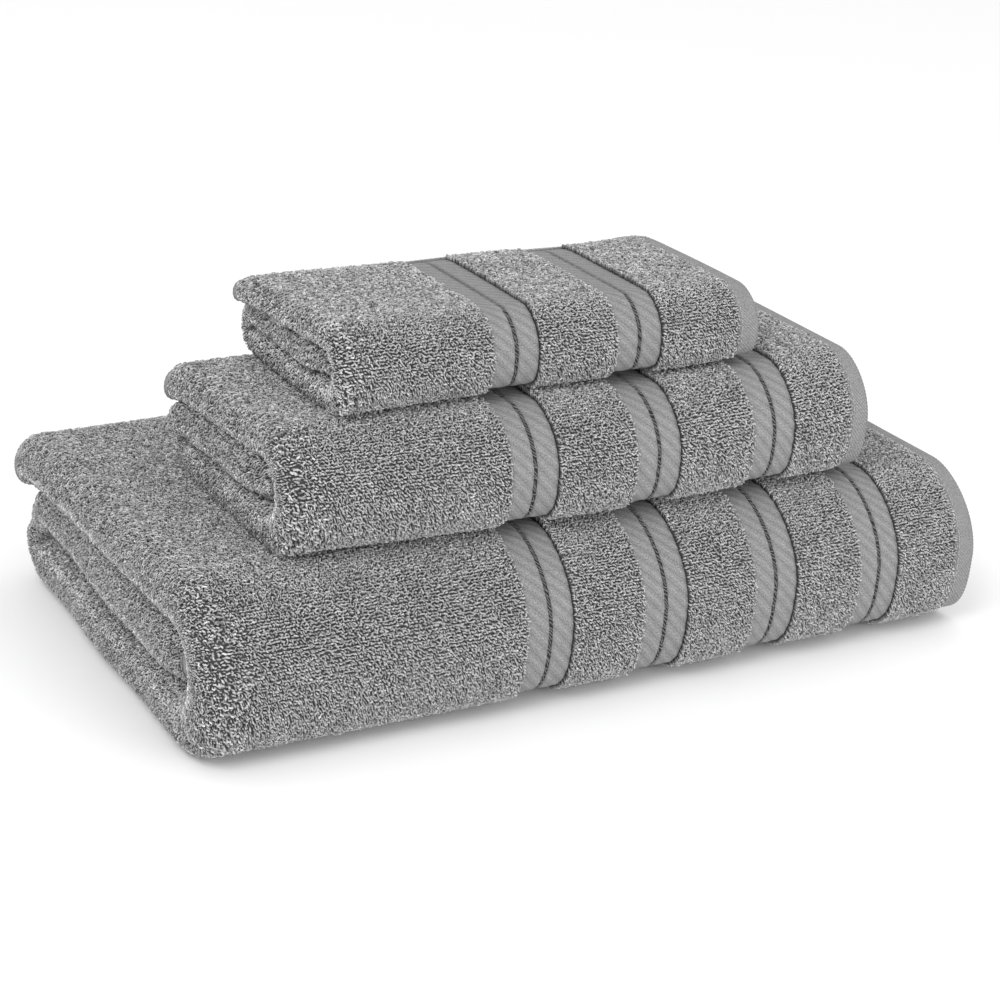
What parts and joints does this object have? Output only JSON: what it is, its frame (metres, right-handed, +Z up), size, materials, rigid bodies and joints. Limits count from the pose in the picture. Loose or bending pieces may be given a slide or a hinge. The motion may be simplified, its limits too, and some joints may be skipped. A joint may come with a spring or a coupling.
{
  "type": "bath towel set",
  "caption": "Stack of folded terry towels, bath towel under hand towel under face towel, each with woven dobby bands and stitched hems.",
  "frame": {"origin": "middle of the bath towel's footprint, on the surface that the stack stands on", "axes": "+X along the towels' folded length, towards the end with the outer hem; +Y towards the back, where the top layers' free edges lie; +Z up through the stack"},
  "size_m": [0.4742, 0.274, 0.2028],
  "materials": {
    "bath_terry": "mid-grey looped cotton terry, matt, with flat twill dobby bands and flat twill hems",
    "hand_terry": "mid-grey looped cotton terry, matt, with flat twill dobby bands and flat twill hems",
    "face_terry": "mid-grey looped cotton terry, matt, with flat twill dobby bands and flat twill hems",
    "thread": "light grey spun sewing thread in a lockstitch"
  },
  "bodies": {
    "bath_towel": {"bath_towel_cloth": "bath_terry", "bath_towel_outer_end_seam": "thread", "bath_towel_tucked_end_seam": "thread", "bath_towel_tucked_side_seam": "thread", "bath_towel_top_side_seam": "thread"},
    "hand_towel": {"hand_towel_cloth": "hand_terry", "hand_towel_outer_end_seam": "thread", "hand_towel_tucked_end_seam": "thread", "hand_towel_tucked_side_seam": "thread", "hand_towel_top_side_seam": "thread"},
    "face_towel": {"face_towel_cloth": "face_terry", "face_towel_outer_end_seam": "thread", "face_towel_tucked_end_seam": "thread", "face_towel_tucked_side_seam": "thread", "face_towel_top_side_seam": "thread"}
  },
  "joints": [
    {"name": "hand_towel_lift", "type": "slide", "parent": "bath_towel", "child": "hand_towel", "axis": [0, 0, 1], "range_m": [0, 0.25]},
    {"name": "face_towel_lift", "type": "slide", "parent": "hand_towel", "child": "face_towel", "axis": [0, 0, 1], "range_m": [0, 0.25]}
  ]
}
